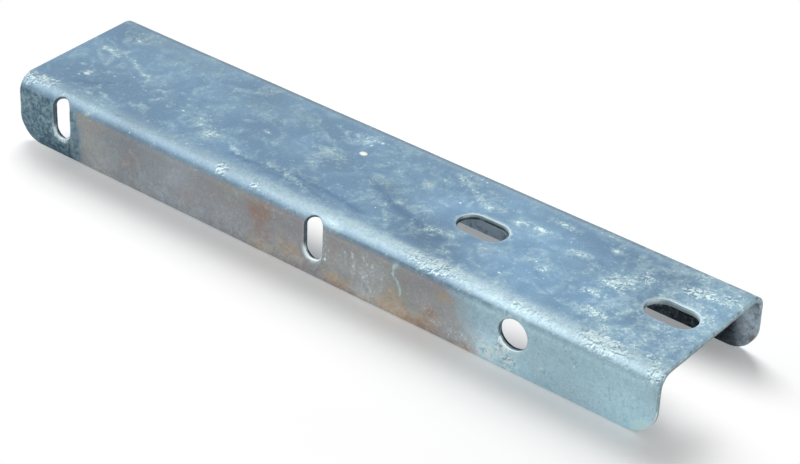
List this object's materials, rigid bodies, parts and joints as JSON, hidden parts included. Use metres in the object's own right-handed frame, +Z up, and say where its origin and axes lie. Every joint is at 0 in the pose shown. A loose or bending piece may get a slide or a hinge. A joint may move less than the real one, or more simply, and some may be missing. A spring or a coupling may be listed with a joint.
{
  "type": "fender bracket",
  "caption": "Folded galvanised steel channel that carries a fender, with long slots in the web, and upright slots and a round hole in one flange.",
  "frame": {"origin": "middle of the channel's footprint, level with the flanges' free edges", "axes": "+X along the channel towards the end with the closer web slot, +Z up out of the web, and the flange with the holes on the -Y side"},
  "size_m": [0.343, 0.0762, 0.0308],
  "materials": {
    "galvanised_steel": "hot-dip galvanised, mottled blue-grey with pale zinc patches and some brown rust bloom on one flange"
  },
  "bodies": {
    "root": {"fender_bracket": "galvanised_steel"}
  },
  "joints": []
}
